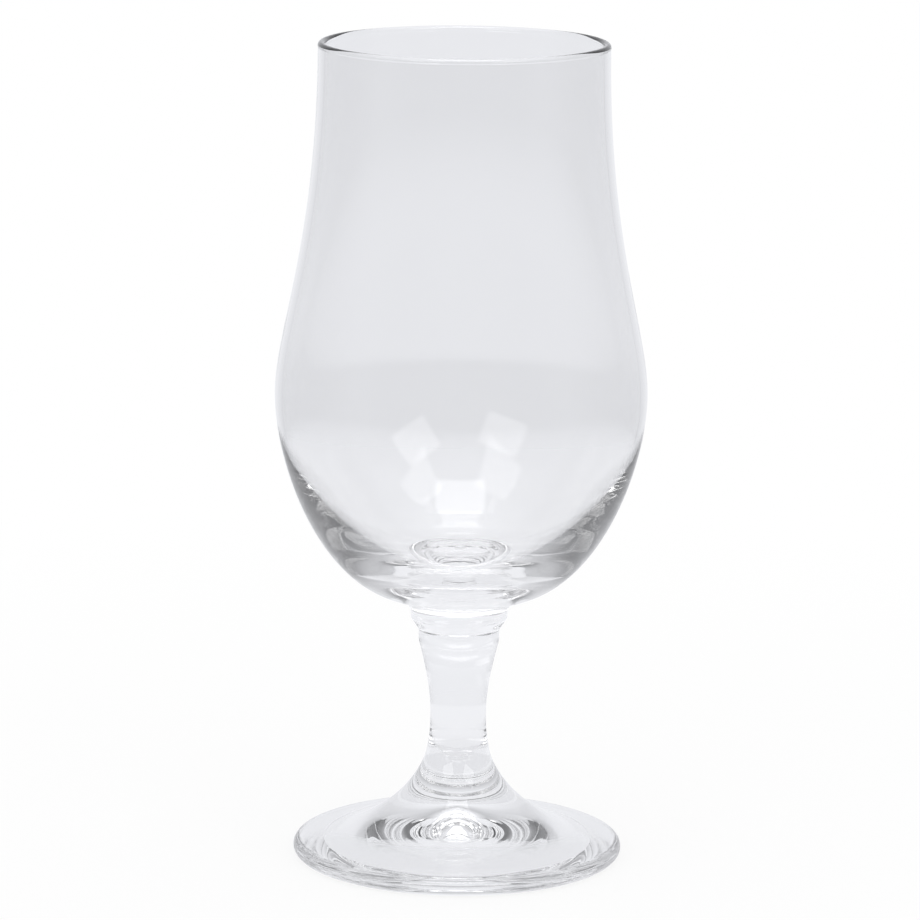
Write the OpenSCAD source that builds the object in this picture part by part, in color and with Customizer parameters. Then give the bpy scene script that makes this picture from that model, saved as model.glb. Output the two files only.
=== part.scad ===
// Tulip beer glass of clear soda-lime glass.
// Three gathers of glass, as stemware of this kind is made: a blown bowl, a drawn solid stem
// and a pressed foot, fused end to end at two flat welds.
// Millimetres. The axis is Z, +Z is up, and the foot's resting ring lies on z = 0.

/* [Overall] */
// Height from the resting ring to the top of the rim
glass_h = 175; // [165:1:190]

/* [Bowl outside] */
// Outside diameter of the wall just under the rim bead
mouth_d = 61.2; // [56:0.2:66]
// Thickness of the fire-polished bead that ends the wall
rim_bead = 1.7; // [1.7:0.1:2.4]
// Outside diameter at the widest place of the bowl
belly_d = 78.8; // [74:0.2:84]
// Height of the widest place above the table
belly_z = 100.4; // [95:0.2:106]
// Upward pull of the curve where it leaves the belly
shoulder_pull = 13.4; // [8:0.2:20]
// Downward pull of the curve where it reaches the mouth
mouth_pull = 41.5; // [32:0.5:46]
// Downward pull of the curve where it leaves the belly
flank_pull = 14.4; // [10:0.2:18]
// Outward pull of the underside where it leaves the collar's fillet
under_pull = 15.8; // [12:0.2:20]
// Rise of the bowl's underside where the collar's fillet runs into it, in degrees
under_angle = 17.5; // [14:0.5:20]

/* [Bowl inside] */
// Wall thickness from the belly to the mouth
wall = 1.6; // [1.2:0.1:1.7]
// Height of the lowest place inside the bowl
floor_z = 63; // [62:0.2:63.6]
// Outward pull of the inside curve at the lowest place
floor_pull = 10; // [6:0.5:12]
// Diameter inside the bowl at the heel, where the wall turns into the heavy base
heel_d = 41.2; // [40:0.2:42.4]
// Height of the heel
heel_z = 65.8; // [65.2:0.2:66.8]
// Slope of the inside at the heel, in degrees from level
heel_angle = 42; // [36:1:48]
// Pull of the inside curve above the heel
heel_pull_up = 3.5; // [2:0.5:5]
// Pull of the inside curve below the heel
heel_pull_down = 3; // [1.5:0.5:4]
// Downward pull of the inside curve where it leaves the belly
lining_pull = 21.5; // [18:0.5:24]

/* [Collar under the bowl] */
// Diameter at which the collar's fillet runs into the bowl's underside
collar_top_d = 31.4; // [29:0.2:33]
// Height of that place
collar_top_z = 57; // [56.4:0.2:57.6]
// Pull of the fillet where it runs into the underside
collar_reach = 3.8; // [2.6:0.2:4.4]
// Upward pull of the fillet where it leaves the collar's shoulder
collar_rise = 3.3; // [2:0.1:3.6]
// Diameter of the collar at its shoulder, below the fillet
collar_low_d = 20.6; // [19.4:0.2:21.4]
// Height of the shoulder
collar_low_z = 52.2; // [51.4:0.1:52.6]
// Upright pull of the collar's curve at the weld and at the shoulder
collar_ease = 0.8; // [0.4:0.1:1.2]

/* [Stem] */
// Diameter of the weld between collar and stem
upper_weld_d = 17.2; // [15.6:0.2:18]
// Height of the weld between collar and stem
upper_weld_z = 49; // [48:0.2:49.8]
// Length of the straight head under the weld
head_l = 2; // [0.6:0.2:4]
// Slope of the stem below its head, in degrees from the axis
head_taper = 14; // [8:1:18]
// Downward pull of the stem's curve below its head
head_pull = 5.8; // [3:0.2:8]
// Diameter of the stem at its thinnest place
waist_d = 11.9; // [10:0.1:13]
// Height of the thinnest place
waist_z = 30.4; // [28:0.2:33]
// Upward pull of the curve above the thinnest place
waist_pull = 6; // [3:0.2:8]

/* [Foot] */
// Diameter of the weld between stem and foot
lower_weld_d = 13.8; // [13.2:0.2:15]
// Height of the weld between stem and foot
lower_weld_z = 22; // [20:0.2:24]
// Flare of the glass at that weld, in degrees from the axis
weld_flare = 16; // [10:1:22]
// Diameter of the foot
foot_d = 70.4; // [64:0.2:78]
// Thickness of the foot's rounded edge
edge_t = 3.5; // [2.8:0.1:4.4]
// Rise of the foot's top where it leaves the edge, in degrees
foot_rise = 4.2; // [2:0.2:8]
// Inward pull of the foot's top where it leaves the edge
apron_pull = 16; // [10:0.5:18]
// Downward pull of the flare below the weld
flare_pull = 6.5; // [4:0.5:9]
// Diameter of the hollow under the foot
kick_d = 56; // [50:0.2:58]
// Depth of the hollow under the foot, on the axis
kick_h = 8; // [5:0.2:9]
// Outward pull of the hollow's blunt tip
kick_tip = 3; // [1:0.5:6]
// Rise of the hollow where it leaves the resting ring, in degrees
kick_rise = 16; // [8:1:22]
// Inward pull of the hollow where it leaves the resting ring
kick_pull = 9; // [4:0.5:11]

/* [Smoothness] */
// Straight steps in each long curve
curve_steps = 30; // [16:2:40]

/* [Hidden] */
$fn = 72;
glass_tint = [0.86, 0.90, 0.92, 0.4];
mouth_r = mouth_d / 2;
belly_r = belly_d / 2;
collar_r = collar_top_d / 2;
shoulder_r = collar_low_d / 2;
upper_weld_r = upper_weld_d / 2;
lower_weld_r = lower_weld_d / 2;
waist_r = waist_d / 2;
edge_r = edge_t / 2;
apron_r = foot_d / 2 - edge_r;
bead_r = rim_bead / 2;
bead_z = glass_h - bead_r;
short_steps = round(curve_steps / 2);
kick_r = kick_d / 2;
heel_r = heel_d / 2;

// A cubic curve from a to d, drawn toward b as it leaves and toward c as it arrives
function sweep(a, b, c, d, n) = [for (i = [0 : n])
    let (t = i / n, u = 1 - t) u * u * u * a + 3 * u * u * t * b + 3 * u * t * t * c + t * t * t * d];

// The bowl's outside, from the weld up to the rim bead
collar_curve = sweep([upper_weld_r, upper_weld_z], [upper_weld_r, upper_weld_z + collar_ease],
                     [shoulder_r, collar_low_z - collar_ease], [shoulder_r, collar_low_z], short_steps);
fillet_curve = sweep([shoulder_r, collar_low_z], [shoulder_r, collar_low_z + collar_rise],
                     [collar_r - collar_reach * cos(under_angle), collar_top_z - collar_reach * sin(under_angle)],
                     [collar_r, collar_top_z], short_steps);
under_curve = sweep([collar_r, collar_top_z],
                    [collar_r + under_pull * cos(under_angle), collar_top_z + under_pull * sin(under_angle)],
                    [belly_r, belly_z - flank_pull], [belly_r, belly_z], curve_steps);
tulip_curve = sweep([belly_r, belly_z], [belly_r, belly_z + shoulder_pull],
                    [mouth_r, bead_z - mouth_pull], [mouth_r, bead_z], curve_steps);

// The bowl's inside, from the lowest place up to the rim bead
floor_curve = sweep([0, floor_z], [floor_pull, floor_z],
                    [heel_r - heel_pull_down * cos(heel_angle), heel_z - heel_pull_down * sin(heel_angle)],
                    [heel_r, heel_z], short_steps);
heel_curve = sweep([heel_r, heel_z],
                   [heel_r + heel_pull_up * cos(heel_angle), heel_z + heel_pull_up * sin(heel_angle)],
                   [belly_r - wall, belly_z - lining_pull], [belly_r - wall, belly_z], curve_steps);
lining_curve = sweep([belly_r - wall, belly_z], [belly_r - wall, belly_z + shoulder_pull],
                     [mouth_r - wall, bead_z - mouth_pull], [mouth_r - wall, bead_z], curve_steps);

// The stem's outside, from the lower weld past the waist to the head
ankle_curve = sweep([lower_weld_r, lower_weld_z],
                    [lower_weld_r - 0.7 * (lower_weld_r - waist_r), lower_weld_z + 0.35 * (waist_z - lower_weld_z)],
                    [waist_r, waist_z - 0.4 * (waist_z - lower_weld_z)], [waist_r, waist_z], short_steps);
neck_curve = sweep([waist_r, waist_z], [waist_r, waist_z + waist_pull],
                   [upper_weld_r - head_pull * sin(head_taper), upper_weld_z - head_l - head_pull * cos(head_taper)],
                   [upper_weld_r, upper_weld_z - head_l], curve_steps);

// The foot's top, from its edge in to the lower weld
apron_curve = sweep([apron_r, edge_t],
                    [apron_r - apron_pull * cos(foot_rise), edge_t + apron_pull * sin(foot_rise)],
                    [lower_weld_r + flare_pull * sin(weld_flare), lower_weld_z - flare_pull * cos(weld_flare)],
                    [lower_weld_r, lower_weld_z], curve_steps);

// The hollow under the foot, a blunt cone from its tip out to the resting ring
kick_curve = sweep([0, kick_h], [kick_tip, kick_h],
                   [kick_r - kick_pull * cos(kick_rise), kick_pull * sin(kick_rise)], [kick_r, 0], curve_steps);

// What the bowl holds to the brim, as a stack of cone slices, in millilitres
lining_all = concat(floor_curve, heel_curve, lining_curve);
slices = [for (i = [0 : len(lining_all) - 2])
    let (p = lining_all[i], q = lining_all[i + 1])
    PI / 3 * (q[1] - p[1]) * (p[0] * p[0] + p[0] * q[0] + q[0] * q[0]) / 1000];
function total(v, i = 0) = i < len(v) ? v[i] + total(v, i + 1) : 0;
echo(brimful_ml = total(slices));

module bowl_section() {
    polygon(concat([[0, upper_weld_z]], collar_curve, fillet_curve, under_curve, tulip_curve,
                   [for (i = [len(lining_all) - 1 : -1 : 0]) lining_all[i]]));
    translate([mouth_r - wall / 2, bead_z]) circle(r = bead_r);
}

module stem_section() {
    polygon(concat([[0, lower_weld_z]], ankle_curve, neck_curve, [[upper_weld_r, upper_weld_z], [0, upper_weld_z]]));
}

module foot_section() {
    polygon(concat(kick_curve, [[apron_r, 0]], apron_curve, [[0, lower_weld_z]]));
    translate([apron_r, edge_r]) circle(r = edge_r);
}

// Blown bowl with its collar, a thin wall that thickens into a heavy base
module bowl() {
    color(glass_tint) rotate_extrude() bowl_section();
}

// Drawn solid stem, weld to weld
module stem() {
    color(glass_tint) rotate_extrude() stem_section();
}

// Pressed foot with a rounded edge and a shallow cone-like hollow underneath
module foot() {
    color(glass_tint) rotate_extrude() foot_section();
}

bowl();
stem();
foot();
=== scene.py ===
# %% [markdown]
# A tulip beer glass is three lumps of clear glass, blown, drawn and pressed, and fused while hot.
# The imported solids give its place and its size. Here each piece is turned again as a fine lathe
# surface, because clear glass shows every flat facet as a kink in what is seen through it.

import math

import bmesh
import bpy
from mathutils import Matrix, Vector


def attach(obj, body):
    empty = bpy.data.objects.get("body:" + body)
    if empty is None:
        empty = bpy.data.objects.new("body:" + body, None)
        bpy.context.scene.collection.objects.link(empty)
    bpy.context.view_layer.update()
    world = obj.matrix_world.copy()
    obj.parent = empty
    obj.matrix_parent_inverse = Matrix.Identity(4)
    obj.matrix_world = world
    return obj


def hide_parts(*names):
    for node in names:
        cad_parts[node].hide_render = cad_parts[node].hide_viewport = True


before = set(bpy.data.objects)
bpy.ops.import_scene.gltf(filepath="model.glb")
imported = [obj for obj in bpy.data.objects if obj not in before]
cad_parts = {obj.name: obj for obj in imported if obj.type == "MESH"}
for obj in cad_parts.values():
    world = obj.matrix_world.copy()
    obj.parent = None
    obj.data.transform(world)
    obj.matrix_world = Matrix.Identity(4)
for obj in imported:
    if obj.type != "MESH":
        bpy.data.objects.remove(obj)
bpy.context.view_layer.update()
scene = bpy.context.scene


# %% [markdown]
# Sizes are in millimetres, as a glassmaker would give them, and they are the ones of the solids.
# The glass stands on z = 0 with its axis on Z.

# %% Sizes of the three pieces
glass_h = 175.0
mouth_d, rim_bead = 61.2, 1.7
belly_d, belly_z = 78.8, 100.4
shoulder_pull, mouth_pull = 13.4, 41.5
flank_pull, under_pull, under_angle = 14.4, 15.8, math.radians(17.5)
wall, lining_pull = 1.6, 21.5
heel_d, heel_z, heel_angle = 41.2, 65.8, math.radians(42)
heel_pull_up, heel_pull_down = 3.5, 3.0
floor_z, floor_pull = 63.0, 10.0
collar_top_d, collar_top_z = 31.4, 57.0
collar_reach, collar_rise, collar_ease = 3.8, 3.3, 0.8
collar_low_d, collar_low_z = 20.6, 52.2
upper_weld_d, upper_weld_z = 17.2, 49.0
head_l, head_taper, head_pull = 2.0, math.radians(14), 5.8
waist_d, waist_z, waist_pull = 11.9, 30.4, 6.0
lower_weld_d, lower_weld_z, weld_flare = 13.8, 22.0, math.radians(16)
foot_d, edge_t, foot_rise = 70.4, 3.5, math.radians(4.2)
apron_pull, flare_pull = 16.0, 6.5
kick_d, kick_h, kick_tip = 56.0, 8.0, 3.0
kick_rise, kick_pull = math.radians(16), 9.0
print("glass", glass_h, "mm tall and", belly_d, "mm wide")


# %% [markdown]
# Every outline of the glass is a smooth pull of soft material between two places. A cubic curve
# says just that: it leaves one place toward a first handle and reaches the other from a second.
# A handle is given by a place, a slope and a length. An arc ends the wall and rounds the foot's edge.

# %% Curves for the outlines
def sweep(a, b, c, d, n):
    a, b, c, d = Vector(a), Vector(b), Vector(c), Vector(d)
    points = []
    for i in range(n + 1):
        t = i / n
        u = 1 - t
        points.append(u**3 * a + 3 * u * u * t * b + 3 * u * t * t * c + t**3 * d)
    return points


def handle(r, z, slope, length):
    return Vector((r + length * math.cos(slope), z + length * math.sin(slope)))


def arc(centre_r, centre_z, radius, start, end, n):
    angles = [math.radians(start + (end - start) * i / n) for i in range(n + 1)]
    return [Vector((centre_r + radius * math.cos(a), centre_z + radius * math.sin(a))) for a in angles]


# %% [markdown]
# A lathe surface is a half outline spun about the axis. bmesh can spin a chain of edges and merge
# the seam, which is shorter than placing each ring by hand. Sharp corners of the outline stay crisp,
# and all else is shaded smooth.

# %% Spin an outline into a piece
mm = 0.001
turns = 240
merge_gap = 1e-7
crisp_angle = math.radians(8)


def turn(name, outline):
    bm = bmesh.new()
    verts = [bm.verts.new((mm * r, 0, mm * z)) for r, z in outline]
    edges = [bm.edges.new(pair) for pair in zip(verts[:-1], verts[1:])]
    bmesh.ops.spin(bm, geom=verts + edges, cent=(0, 0, 0), axis=(0, 0, 1), angle=2 * math.pi,
                   steps=turns, use_merge=True)
    bmesh.ops.remove_doubles(bm, verts=bm.verts, dist=merge_gap)
    bmesh.ops.recalc_face_normals(bm, faces=bm.faces)
    for face in bm.faces:
        face.smooth = True
    for edge in bm.edges:
        edge.smooth = edge.calc_face_angle(0) < crisp_angle
    open_edges = sum(not edge.is_manifold for edge in bm.edges)
    mesh = bpy.data.meshes.new(name)
    bm.to_mesh(mesh)
    bm.free()
    piece = bpy.data.objects.new(name, mesh)
    scene.collection.objects.link(piece)
    print(name, len(mesh.polygons), "faces,", open_edges, "open edges")
    return piece


# %% [markdown]
# The bowl's outside runs from the weld up the short collar and through a fillet under the bowl, then to
# the belly and up the tulip's neck. The fire-polished rim is a bead a little thicker than the wall, so
# the wall stops where it meets the bead's arc.

# %% Outside of the bowl
collar_steps, fillet_steps, under_steps, neck_steps, bead_steps = 36, 60, 120, 96, 48
bead_r = rim_bead / 2
bead_z = glass_h - bead_r
mouth_r, belly_r = mouth_d / 2, belly_d / 2
collar_r, shoulder_r = collar_top_d / 2, collar_low_d / 2
upper_r = upper_weld_d / 2
collar_line = sweep((upper_r, upper_weld_z), (upper_r, upper_weld_z + collar_ease),
                    (shoulder_r, collar_low_z - collar_ease), (shoulder_r, collar_low_z), collar_steps)
fillet_line = sweep((shoulder_r, collar_low_z), (shoulder_r, collar_low_z + collar_rise),
                    handle(collar_r, collar_top_z, under_angle, -collar_reach),
                    (collar_r, collar_top_z), fillet_steps)
under_line = sweep((collar_r, collar_top_z), handle(collar_r, collar_top_z, under_angle, under_pull),
                   (belly_r, belly_z - flank_pull), (belly_r, belly_z), under_steps)
bead_start = math.acos(wall / rim_bead)
bead_degrees = math.degrees(bead_start)
neck_z = bead_z - bead_r * math.sin(bead_start)
tulip_line = sweep((belly_r, belly_z), (belly_r, belly_z + shoulder_pull),
                   (mouth_r, bead_z - mouth_pull), (mouth_r, neck_z), neck_steps)
bead_line = arc(mouth_r - wall / 2, bead_z, bead_r, -bead_degrees, 180 + bead_degrees, bead_steps)
outside = collar_line + fillet_line[1:] + under_line[1:] + tulip_line[1:] + bead_line[1:-1]
print("bowl outside in", len(outside), "points")

# %% [markdown]
# Inside, the blown wall is thin and even down to the belly. Below it the lining leaves the outside more
# and more, turns at a heel and lies nearly level on a heavy base. That thick glass draws the dark bands
# along the flanks and the rings in the base.

# %% Inside of the bowl
heel_steps, floor_steps = 100, 64
inner_belly_r, inner_mouth_r, heel_r = belly_r - wall, mouth_r - wall, heel_d / 2
lining_line = sweep((inner_mouth_r, neck_z), (inner_mouth_r, bead_z - mouth_pull),
                    (inner_belly_r, belly_z + shoulder_pull), (inner_belly_r, belly_z), neck_steps)
heel_line = sweep((inner_belly_r, belly_z), (inner_belly_r, belly_z - lining_pull),
                  handle(heel_r, heel_z, heel_angle, heel_pull_up), (heel_r, heel_z), heel_steps)
floor_line = sweep((heel_r, heel_z), handle(heel_r, heel_z, heel_angle, -heel_pull_down),
                   (floor_pull, floor_z), (0, floor_z), floor_steps)
inside = lining_line + heel_line[1:] + floor_line[1:]
bowl = turn("bowl_blown", [Vector((0, upper_weld_z))] + outside + inside)

# %% [markdown]
# The stem is drawn from a solid gather: a straight head at the weld, a waist, and a slight spread
# where it meets the foot. The ankle's handles are shares of its own width and height.

# %% Stem
ankle_steps, stem_steps = 32, 48
ankle_in, ankle_up, ankle_down = 0.7, 0.35, 0.4
lower_r, waist_r = lower_weld_d / 2, waist_d / 2
ankle_h = waist_z - lower_weld_z
ankle_line = sweep((lower_r, lower_weld_z),
                   (lower_r - ankle_in * (lower_r - waist_r), lower_weld_z + ankle_up * ankle_h),
                   (waist_r, waist_z - ankle_down * ankle_h), (waist_r, waist_z), ankle_steps)
head_z = upper_weld_z - head_l
neck_line = sweep((waist_r, waist_z), (waist_r, waist_z + waist_pull),
                  handle(upper_r, head_z, math.pi / 2 - head_taper, -head_pull),
                  (upper_r, head_z), stem_steps)
stem = turn("stem_drawn", [Vector((0, lower_weld_z))] + ankle_line + neck_line[1:]
            + [Vector((upper_r, upper_weld_z)), Vector((0, upper_weld_z))])

# %% [markdown]
# The foot is pressed in a mould: a disc with a rounded edge, a flare that runs up to the weld and a
# cone-like hollow underneath, so that it stands on a ring. The hollow makes the bright and dark arcs
# that are seen through the foot.

# %% Foot
kick_steps, edge_steps, apron_steps = 80, 40, 96
edge_r = edge_t / 2
apron_r = foot_d / 2 - edge_r
kick_r = kick_d / 2
kick_line = sweep((0, kick_h), (kick_tip, kick_h), handle(kick_r, 0, math.pi - kick_rise, kick_pull),
                  (kick_r, 0), kick_steps)
edge_line = arc(apron_r, edge_r, edge_r, -90, 90, edge_steps)
apron_line = sweep((apron_r, edge_t), handle(apron_r, edge_t, math.pi - foot_rise, apron_pull),
                   handle(lower_r, lower_weld_z, weld_flare - math.pi / 2, flare_pull),
                   (lower_r, lower_weld_z), apron_steps)
foot = turn("foot_pressed", kick_line + edge_line + apron_line[1:] + [Vector((0, lower_weld_z))])


# %% [markdown]
# Colours are written as they are seen, in sRGB hex, and turned to linear light once.
# One small function adds a node with its settings and its links.

# %% Helpers for the finishes
def linear(code):
    parts = [int(code[i:i + 2], 16) / 255 for i in (1, 3, 5)]
    return [c / 12.92 if c <= 0.04045 else ((c + 0.055) / 1.055) ** 2.4 for c in parts] + [1.0]


def add_node(tree, kind, links=(), sockets=None, **settings):
    node = tree.nodes.new(kind)
    for key, value in settings.items():
        setattr(node, key, value)
    for socket, value in (sockets or {}).items():
        node.inputs[socket].default_value = value
    for socket, source in dict(links).items():
        tree.links.new(source, node.inputs[socket])
    return node


def empty_tree(owner):
    owner.use_nodes = True
    owner.node_tree.nodes.clear()
    return owner.node_tree


# %% [markdown]
# Soda-lime glass is clear and nearly without colour, and its surface was last touched by fire, so it is
# as smooth as a liquid. Its refractive index is 1.52. Working it hot leaves faint upright cords, a few
# millimetres apart and many times longer than wide, which make what is seen through it waver a little.

# %% Soda-lime glass
cord_pitch, cord_length = 5.5, 110.0
cord_strength, cord_depth = 0.03, 0.0002
cord_scale = (1000 / cord_pitch, 1000 / cord_pitch, 1000 / cord_length)
glass = bpy.data.materials.new("Soda_lime_glass_fire_polished")
tree = empty_tree(glass)
place = add_node(tree, "ShaderNodeTexCoord")
stretch = add_node(tree, "ShaderNodeMapping", {"Vector": place.outputs["Object"]}, {"Scale": cord_scale})
cords = add_node(tree, "ShaderNodeTexNoise", {"Vector": stretch.outputs["Vector"]},
                 {"Scale": 1.0, "Detail": 2.0})
ripple = add_node(tree, "ShaderNodeBump", {"Height": cords.outputs["Fac"]},
                  {"Strength": cord_strength, "Distance": cord_depth})
body = add_node(tree, "ShaderNodeBsdfPrincipled", {"Normal": ripple.outputs["Normal"]},
                {"Base Color": linear("#FDFDFD"), "Roughness": 0.0, "IOR": 1.52, "Transmission Weight": 1.0})
add_node(tree, "ShaderNodeOutputMaterial", {"Surface": body.outputs["BSDF"]})
print(glass.name, "with cords every", cord_pitch, "mm")

# %% [markdown]
# Where two pieces are fused there is no surface left. The flat discs that close each piece there are
# given a clear skin, so that light runs on from one piece into the next.

# %% Fused welds
level, weld_gap = 0.9999, 1e-6
pure_white = linear("#FFFFFF")
weld = bpy.data.materials.new("Fused_weld_no_surface")
tree = empty_tree(weld)
clear = add_node(tree, "ShaderNodeBsdfPrincipled", (), {"Base Color": pure_white, "Alpha": 0.0, "IOR": 1.0})
add_node(tree, "ShaderNodeOutputMaterial", {"Surface": clear.outputs["BSDF"]})
for piece, node, heights in ((bowl, "bowl", [upper_weld_z]), (stem, "stem", [lower_weld_z, upper_weld_z]),
                             (foot, "foot", [lower_weld_z])):
    piece.data.materials.append(glass)
    piece.data.materials.append(weld)
    discs = [face for face in piece.data.polygons if abs(face.normal.z) > level
             and any(abs(face.center.z - mm * h) < weld_gap for h in heights)]
    for face in discs:
        face.material_index = 1
    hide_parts(node)
    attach(piece, "root")
    print(node, len(discs), "faces in its welds")


# %% [markdown]
# Clear glass has no look of its own: it shows the room. This one is bright behind the glass, dim at the
# sides and darkest in front, and the thick flanks turn those dim parts toward the eye as dark bands. Where
# a direction's Y is positive it points to the back, and the light falls off from there toward the sides.
# A ray that has only crossed one or two walls, and so two or four surfaces, sees white all round: thin
# clear glass looks clear from every side. The table and the sky share these two rules.

# %% Where the room is bright
cool_white = linear("#F2F3F7")
back_fall = 1.5
front_dark, front_dim = -0.8, -0.25
see_through = (2, 4)
half_step = 0.5


def toward_back(tree, y):
    back = add_node(tree, "ShaderNodeMath", {0: y}, {1: 0.0}, operation="MAXIMUM")
    return add_node(tree, "ShaderNodeMath", {0: back.outputs[0]}, {1: back_fall}, operation="POWER")


def plain_sight(tree, path, bright, extra_steps):
    for surfaces in see_through:
        plain = add_node(tree, "ShaderNodeMath", {0: path.outputs["Ray Depth"]},
                         {1: surfaces + extra_steps, 2: half_step}, operation="COMPARE")
        bright = add_node(tree, "ShaderNodeMath", {0: bright.outputs[0], 1: plain.outputs[0]},
                          operation="MAXIMUM")
    return bright


# %% [markdown]
# The floor is a plain white table top, one flat sheet a hair below the foot's resting ring, so that the
# two never lie in the same plane. It reaches far behind the glass.

# %% Table top
table_half_width, table_half_depth, table_back, table_gap = 1.6, 2.4, 1.2, 0.0002
bm = bmesh.new()
bmesh.ops.create_grid(bm, x_segments=1, y_segments=1, size=1.0)
mesh = bpy.data.meshes.new("table_top")
bm.to_mesh(mesh)
bm.free()
table_top = bpy.data.objects.new("table_top", mesh)
table_top.scale = (table_half_width, table_half_depth, 1.0)
table_top.location = (0, table_back, -table_gap)
scene.collection.objects.link(table_top)
table_top.data.materials.append(bpy.data.materials.new("White_card_table_painted_light"))
print("table", 2 * table_half_width, "by", 2 * table_half_depth, "m")

# %% [markdown]
# White card shows as white to the eye. Seen in the glass it glows a little cooler, with a painted pool of
# light around the glass and behind it, and painted shade that darkens it toward the front. Near the foot a
# part of its light comes from the lamps and the room, so that the foot leaves a soft shadow on it.

# %% White card, with painted light and shade seen in the glass
# Painted shade: the dim and dark tones the card glows with where it is seen in the glass, darkest toward the
# front
painted_dim_shade, painted_dark_shade = linear("#747578"), linear("#3C3D3F")
pool_full, pool_ends = 0.2, 0.6
shadow_near, shadow_far, glow_near = 0.06, 0.35, 0.88
tree = empty_tree(table_top.data.materials[0])
path = add_node(tree, "ShaderNodeLightPath")
seen = add_node(tree, "ShaderNodeMath",
                {0: path.outputs["Is Camera Ray"], 1: path.outputs["Is Glossy Ray"]}, operation="MAXIMUM")
seen = add_node(tree, "ShaderNodeMath", {0: seen.outputs[0], 1: path.outputs["Is Transmission Ray"]},
                operation="MAXIMUM")
place = add_node(tree, "ShaderNodeNewGeometry")
away = add_node(tree, "ShaderNodeVectorMath", {0: place.outputs["Position"]}, operation="LENGTH")
share = add_node(tree, "ShaderNodeMapRange", {"Value": away.outputs["Value"]},
                 {"From Min": shadow_near, "From Max": shadow_far, "To Min": glow_near, "To Max": 1.0})
amount = add_node(tree, "ShaderNodeMath", {0: seen.outputs[0], 1: share.outputs[0]}, operation="MULTIPLY")
# Painted pool of light: seen in the glass, the card glows brightest near the glass and behind it, fading to
# the sides
near = add_node(tree, "ShaderNodeMapRange", {"Value": away.outputs["Value"]},
                {"From Min": pool_full, "From Max": pool_ends, "To Min": 1.0, "To Max": 0.0},
                interpolation_type="SMOOTHSTEP")
way = add_node(tree, "ShaderNodeVectorMath", {0: place.outputs["Position"]}, operation="NORMALIZE")
way = add_node(tree, "ShaderNodeSeparateXYZ", {"Vector": way.outputs["Vector"]})
back = toward_back(tree, way.outputs["Y"])
pool = add_node(tree, "ShaderNodeMath", {0: near.outputs[0], 1: back.outputs[0]}, operation="MAXIMUM")
# Painted light: seen through one or two walls of glass, the card glows bright all over
pool = plain_sight(tree, path, pool, 0)
front = add_node(tree, "ShaderNodeMapRange", {"Value": way.outputs["Y"]},
                 {"From Min": front_dark, "From Max": front_dim}, interpolation_type="SMOOTHSTEP")
dim = add_node(tree, "ShaderNodeMixRGB", {"Fac": front.outputs[0]},
               {"Color1": painted_dark_shade, "Color2": painted_dim_shade})
# The card's glow mixes the painted pool of light with the painted shade; the camera itself sees plain white
painted_card_light = add_node(tree, "ShaderNodeMixRGB", {"Fac": pool.outputs[0], "Color1": dim.outputs["Color"]},
                {"Color2": cool_white})
glow_with_painted_light = add_node(tree, "ShaderNodeMixRGB",
               {"Fac": path.outputs["Is Camera Ray"], "Color1": painted_card_light.outputs["Color"]},
               {"Color2": pure_white})
lit = add_node(tree, "ShaderNodeBsdfDiffuse", (), {"Color": linear("#DDDDDD")})
glow = add_node(tree, "ShaderNodeEmission", {"Color": glow_with_painted_light.outputs["Color"]}, {"Strength": 1.0})
both = add_node(tree, "ShaderNodeMixShader",
                {"Fac": amount.outputs[0], 1: lit.outputs["BSDF"], 2: glow.outputs["Emission"]})
add_node(tree, "ShaderNodeOutputMaterial", {"Surface": both.outputs["Shader"]})
print("pool of light", pool_ends, "m wide to each side")

# %% [markdown]
# The room is painted on the world by direction: a white backdrop behind, a bright ceiling, dim sides and a
# darker front. The camera itself sees plain white, and so does the table, which is lit evenly. In the
# world shader Cycles counts one step more along a ray than on a surface.

# %% World
ceiling_starts, ceiling_full = 0.5, 0.95
front_tone, room_tone, backdrop_tone = 0.06, 0.16, 1.0
sky_step = 1
world = bpy.data.worlds.new("Dim_studio_with_white_backdrop")
scene.world = world
tree = empty_tree(world)
way = add_node(tree, "ShaderNodeTexCoord")
parts = add_node(tree, "ShaderNodeSeparateXYZ", {"Vector": way.outputs["Generated"]})
back = toward_back(tree, parts.outputs["Y"])
ceiling = add_node(tree, "ShaderNodeMapRange", {"Value": parts.outputs["Z"]},
                   {"From Min": ceiling_starts, "From Max": ceiling_full}, interpolation_type="SMOOTHSTEP")
bright = add_node(tree, "ShaderNodeMath", {0: back.outputs[0], 1: ceiling.outputs[0]}, operation="MAXIMUM")
path = add_node(tree, "ShaderNodeLightPath")
bright = plain_sight(tree, path, bright, sky_step)
front = add_node(tree, "ShaderNodeMapRange", {"Value": parts.outputs["Y"]},
                 {"From Min": front_dark, "From Max": front_dim, "To Min": front_tone, "To Max": room_tone},
                 interpolation_type="SMOOTHSTEP")
tone = add_node(tree, "ShaderNodeMapRange", {"Value": bright.outputs[0], "To Min": front.outputs[0]},
                {"To Max": backdrop_tone})
room = add_node(tree, "ShaderNodeBackground", {"Strength": tone.outputs[0]}, {"Color": cool_white})
white = add_node(tree, "ShaderNodeBackground", (), {"Color": pure_white, "Strength": 1.0})
even = add_node(tree, "ShaderNodeMath",
                {0: path.outputs["Is Camera Ray"], 1: path.outputs["Is Diffuse Ray"]}, operation="MAXIMUM")
sky = add_node(tree, "ShaderNodeMixShader",
               {"Fac": even.outputs[0], 1: room.outputs[0], 2: white.outputs[0]})
add_node(tree, "ShaderNodeOutputWorld", {"Surface": sky.outputs["Shader"]})
print("room tone", room_tone, "backdrop tone", backdrop_tone)


# %% [markdown]
# Two soft boxes hang in front at the left and the right, and a third one overhead. The far wall of the bowl
# is a concave mirror, so each shows there as a small bright patch, turned with the curve of the bowl. The
# cloth of a soft box glows less toward its edges, so the patches end softly.

# %% Lamps
edge_fade = 0.12
cloth_middle = 0.5
glass_middle = Vector((0, 0, 0.09))


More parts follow.
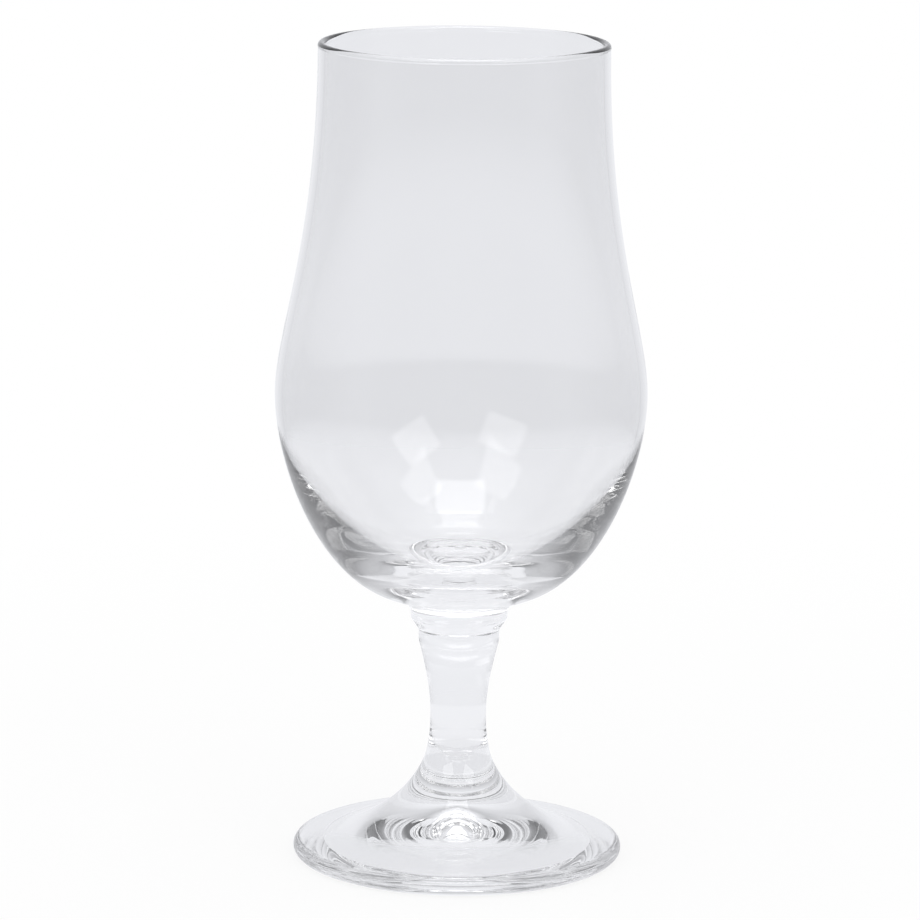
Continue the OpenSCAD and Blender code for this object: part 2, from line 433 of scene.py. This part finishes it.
def soft_box(name, place, roll, width, height, watts):
    lamp = bpy.data.lights.new(name, "AREA")
    lamp.shape, lamp.size, lamp.size_y, lamp.energy = "RECTANGLE", width, height, watts
    tree = empty_tree(lamp)
    cloth = add_node(tree, "ShaderNodeNewGeometry")
    across = add_node(tree, "ShaderNodeSeparateXYZ", {"Vector": cloth.outputs["Parametric"]})
    fades = []
    for axis in ("X", "Y"):
        edge = add_node(tree, "ShaderNodeMath", {0: across.outputs[axis]}, {1: cloth_middle},
                        operation="PINGPONG")
        fades.append(add_node(tree, "ShaderNodeMapRange", {"Value": edge.outputs[0]}, {"From Max": edge_fade},
                              interpolation_type="SMOOTHSTEP"))
    fade = add_node(tree, "ShaderNodeMath", {0: fades[0].outputs[0], 1: fades[1].outputs[0]},
                    operation="MULTIPLY")
    glow = add_node(tree, "ShaderNodeEmission", {"Strength": fade.outputs[0]})
    add_node(tree, "ShaderNodeOutputLight", {"Surface": glow.outputs["Emission"]})
    box = bpy.data.objects.new(name, lamp)
    aim = (glass_middle - Vector(place)).to_track_quat("-Z", "Y").to_matrix().to_4x4()
    box.matrix_world = Matrix.Translation(place) @ aim @ Matrix.Rotation(math.radians(roll), 4, "Z")
    scene.collection.objects.link(box)
    print(name, width, "by", height, "m,", watts, "W")


soft_box("soft_box_left", (-0.63, -0.97, 0.75), roll=-10, width=0.78, height=0.52, watts=2.5)
soft_box("soft_box_right", (0.66, -0.88, 0.83), roll=20, width=0.72, height=0.56, watts=2.5)
soft_box("soft_box_top", (0.0, -0.20, 1.15), roll=0, width=0.66, height=0.68, watts=3.9)

# %% [markdown]
# The camera stands a metre away and looks down on the rim by seven degrees, with a long lens. Its focal
# length was found in pixels of the square photograph. It leans a little, as the glass leans there.

# %% Camera
sensor, focal_pixels, photo_pixels = 36.0, 4989, 920
lean_degrees, look_down = 0.55, 11.498
camera_place = (-0.00013, -1.0368, 0.2969)
camera_data = bpy.data.cameras.new("studio_camera")
camera_data.sensor_width = sensor
camera_data.lens = sensor * focal_pixels / photo_pixels
camera = bpy.data.objects.new("studio_camera", camera_data)
lean = Matrix.Rotation(math.radians(lean_degrees), 4, "Z")
tilt = Matrix.Rotation(math.radians(90 - look_down), 4, "X")
camera.matrix_world = Matrix.Translation(camera_place) @ tilt @ lean
scene.collection.objects.link(camera)
scene.camera = camera
scene.view_settings.view_transform = "Standard"
print("lens", round(camera_data.lens, 1), "mm")

# %% [markdown]
# Light runs about inside thick glass many times before it leaves. With the usual few bounces it is cut off
# and the stem and the base turn black, so more bounces are let through.

# %% Light paths
bounces = 40
scene.cycles.max_bounces = bounces
scene.cycles.glossy_bounces = bounces
scene.cycles.transmission_bounces = bounces
scene.cycles.transparent_max_bounces = bounces
print("bounces", scene.cycles.max_bounces)
